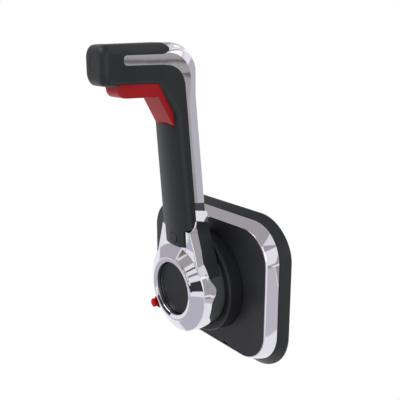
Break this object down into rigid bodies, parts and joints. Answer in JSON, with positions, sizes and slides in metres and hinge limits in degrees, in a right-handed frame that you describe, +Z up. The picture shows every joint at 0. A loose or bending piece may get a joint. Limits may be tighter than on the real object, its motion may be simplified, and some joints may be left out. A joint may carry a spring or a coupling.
{
  "type": "boat throttle control lever",
  "caption": "Side-mount boat throttle and shift lever: L-shaped grip with red neutral-lock trigger, bright hub and spine, rounded cover plate and stop button.",
  "frame": {"origin": "middle of the four wall screws, on the plane of the wall", "axes": "+Y into the wall, -Y out towards the user, +X towards the stern, +Z up with the lever in neutral"},
  "size_m": [0.169, 0.1225, 0.2638],
  "materials": {
    "dark_plastic": "fine satin, moulded, charcoal",
    "chrome": "bright chrome plate",
    "housing_nylon": "moulded glass-filled nylon",
    "disc_plastic": "satin",
    "red_plastic": "moulded red, satin gloss",
    "stop_red": "moulded signal red",
    "cast_metal": "die-cast, tumbled",
    "steel": "stainless, machined",
    "bronze": "sintered bronze",
    "acetal": "natural acetal",
    "switch_plastic": "moulded"
  },
  "bodies": {
    "base": {"base_housing": "dark_plastic", "chrome_trim": "chrome", "cover_plate": "dark_plastic", "mechanism_housing": "housing_nylon", "housing_screws": "steel", "front_bush": "bronze", "rear_bush": "bronze", "neutral_lock_ring": "steel", "lock_ring_screws": "steel", "arm_pins": "steel", "pin_circlips": "steel", "detent_ball": "steel", "detent_spring": "steel", "detent_screw": "steel", "friction_pad": "acetal", "friction_screw": "steel", "neutral_switch": "switch_plastic", "switch_screws": "steel", "cable_brackets": "steel", "bracket_rivets": "steel", "stop_switch_body": "dark_plastic", "stop_switch_nut": "switch_plastic"},
    "stop_button": {"stop_button": "stop_red", "stop_spring": "steel"},
    "lever": {"lever_core": "cast_metal", "main_shaft": "steel", "thrust_washer": "bronze", "throttle_pinion": "steel", "shift_pinion": "steel", "neutral_cam": "acetal", "shaft_circlip": "steel", "hub_shell": "chrome", "hub_screws": "steel", "hub_set_screw": "steel", "rear_hub_shell": "dark_plastic", "front_shell": "dark_plastic", "chrome_spine": "chrome", "spine_foot_spacer": "dark_plastic", "spine_foot_cap": "chrome", "spine_screws": "steel", "handle_screw": "steel", "arm_plug": "dark_plastic", "grip_end_plug": "dark_plastic"},
    "trigger": {"trigger": "red_plastic", "lock_rod": "steel", "rod_nut": "steel", "lock_pawl": "steel", "lock_spring": "steel"},
    "throttle_only_button": {"throttle_only_button": "disc_plastic", "button_stem": "steel", "clutch_pin": "steel", "button_spring": "steel"},
    "shift_arm": {"shift_arm": "steel"},
    "throttle_arm": {"throttle_arm": "steel"}
  },
  "joints": [
    {"name": "lever_swing", "type": "hinge", "parent": "base", "child": "lever", "pos_m": [0.0064, -0.026, 0], "axis": [0, -1, 0], "range_deg": [-65, 85]},
    {"name": "shift_arm_turn", "type": "hinge", "parent": "base", "child": "shift_arm", "pos_m": [-0.02159, -0.0066, -0.0108], "axis": [0, -1, 0], "range_deg": [-57, 44]},
    {"name": "throttle_arm_turn", "type": "hinge", "parent": "base", "child": "throttle_arm", "pos_m": [0.03439, -0.0037, 0.0108], "axis": [0, -1, 0], "range_deg": [-57, 44]},
    {"name": "trigger_squeeze", "type": "slide", "parent": "lever", "child": "trigger", "axis": [0, -0.0862, 0.9963], "range_m": [0, 0.005], "stiffness_N_per_m": 1200, "springref_m": -0.002, "deforming": ["lock_spring"]},
    {"name": "throttle_only_push", "type": "slide", "parent": "lever", "child": "throttle_only_button", "axis": [0, 1, 0], "range_m": [0, 0.003], "stiffness_N_per_m": 1500, "springref_m": -0.001, "deforming": ["button_spring"]},
    {"name": "stop_button_push", "type": "slide", "parent": "base", "child": "stop_button", "axis": [0, 1, 0], "range_m": [0, 0.003], "stiffness_N_per_m": 800, "springref_m": -0.001, "deforming": ["stop_spring"]}
  ],
  "couplings": [
    {"joint": "shift_arm_turn", "follows": "lever_swing", "ratio": -0.66667},
    {"joint": "throttle_arm_turn", "follows": "lever_swing", "ratio": -0.66667}
  ]
}
